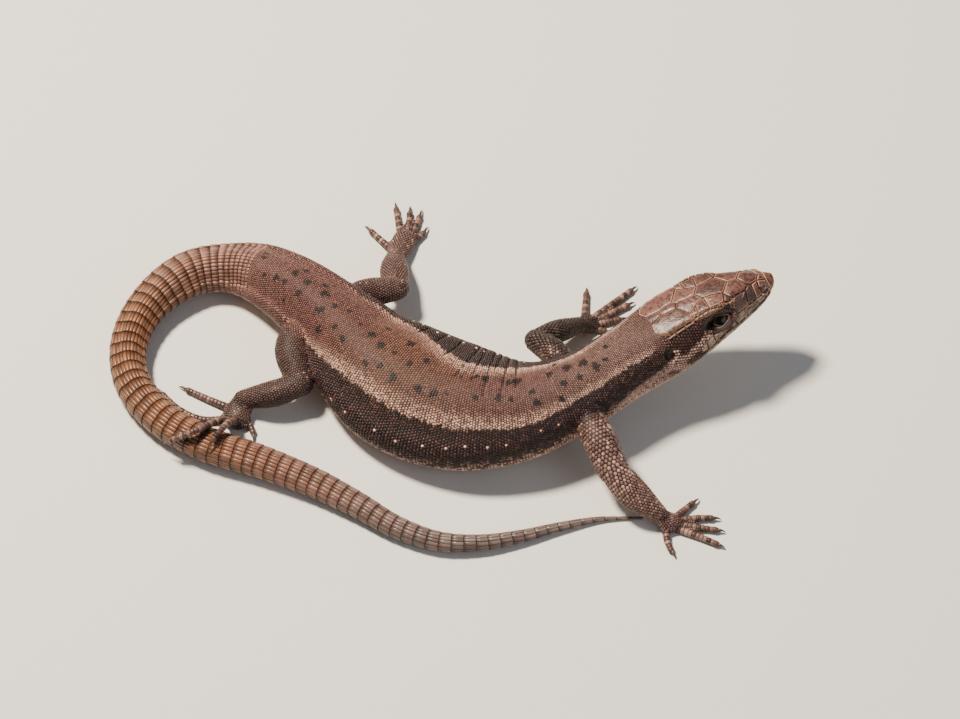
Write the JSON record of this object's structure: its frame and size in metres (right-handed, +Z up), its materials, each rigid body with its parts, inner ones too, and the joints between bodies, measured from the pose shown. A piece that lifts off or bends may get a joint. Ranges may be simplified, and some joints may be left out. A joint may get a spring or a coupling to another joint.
{
  "type": "wall lizard",
  "caption": "Still life-size wall lizard lying in a curve, head raised and turned, long tail swept round beside the body, toes spread on the ground.",
  "frame": {"origin": "on the floor, under the middle of the bounding box", "axes": "+X to the side the head points, +Z up, the back of the curled tail to -X"},
  "size_m": [0.0794, 0.0522, 0.0137],
  "materials": {
    "head_scales": "horny head shields, satin",
    "jaw_scales": "small smooth scales, satin",
    "neck_scales": "granular scales, satin",
    "trunk_scales": "granular scales, satin",
    "tail_scales": "keeled scales in rings, satin",
    "leg_scales": "small overlapping scales, satin",
    "foot_scales": "plated toes, satin",
    "claw_horn": "dark translucent horn, polished by wear",
    "eye_surface": "wet glossy eye",
    "ear_drum_skin": "thin taut skin, slightly shiny"
  },
  "bodies": {
    "root": {"head": "head_scales", "lower_jaw": "jaw_scales", "neck": "neck_scales", "trunk": "trunk_scales", "tail_1": "tail_scales", "tail_2": "tail_scales", "tail_3": "tail_scales", "tail_4": "tail_scales", "tail_5": "tail_scales", "tail_6": "tail_scales", "eye_left": "eye_surface", "ear_drum_left": "ear_drum_skin", "eye_right": "eye_surface", "ear_drum_right": "ear_drum_skin", "right_fore_upper": "leg_scales", "right_fore_lower": "leg_scales", "right_fore_foot": "foot_scales", "right_fore_claw_1": "claw_horn", "right_fore_claw_2": "claw_horn", "right_fore_claw_3": "claw_horn", "right_fore_claw_4": "claw_horn", "right_fore_claw_5": "claw_horn", "left_fore_upper": "leg_scales", "left_fore_lower": "leg_scales", "left_fore_foot": "foot_scales", "left_fore_claw_1": "claw_horn", "left_fore_claw_2": "claw_horn", "left_fore_claw_3": "claw_horn", "left_fore_claw_4": "claw_horn", "left_fore_claw_5": "claw_horn", "right_hind_upper": "leg_scales", "right_hind_lower": "leg_scales", "right_hind_foot": "foot_scales", "right_hind_claw_1": "claw_horn", "right_hind_claw_2": "claw_horn", "right_hind_claw_3": "claw_horn", "right_hind_claw_4": "claw_horn", "right_hind_claw_5": "claw_horn", "left_hind_upper": "leg_scales", "left_hind_lower": "leg_scales", "left_hind_foot": "foot_scales", "left_hind_claw_1": "claw_horn", "left_hind_claw_2": "claw_horn", "left_hind_claw_3": "claw_horn", "left_hind_claw_4": "claw_horn", "left_hind_claw_5": "claw_horn"}
  },
  "joints": []
}
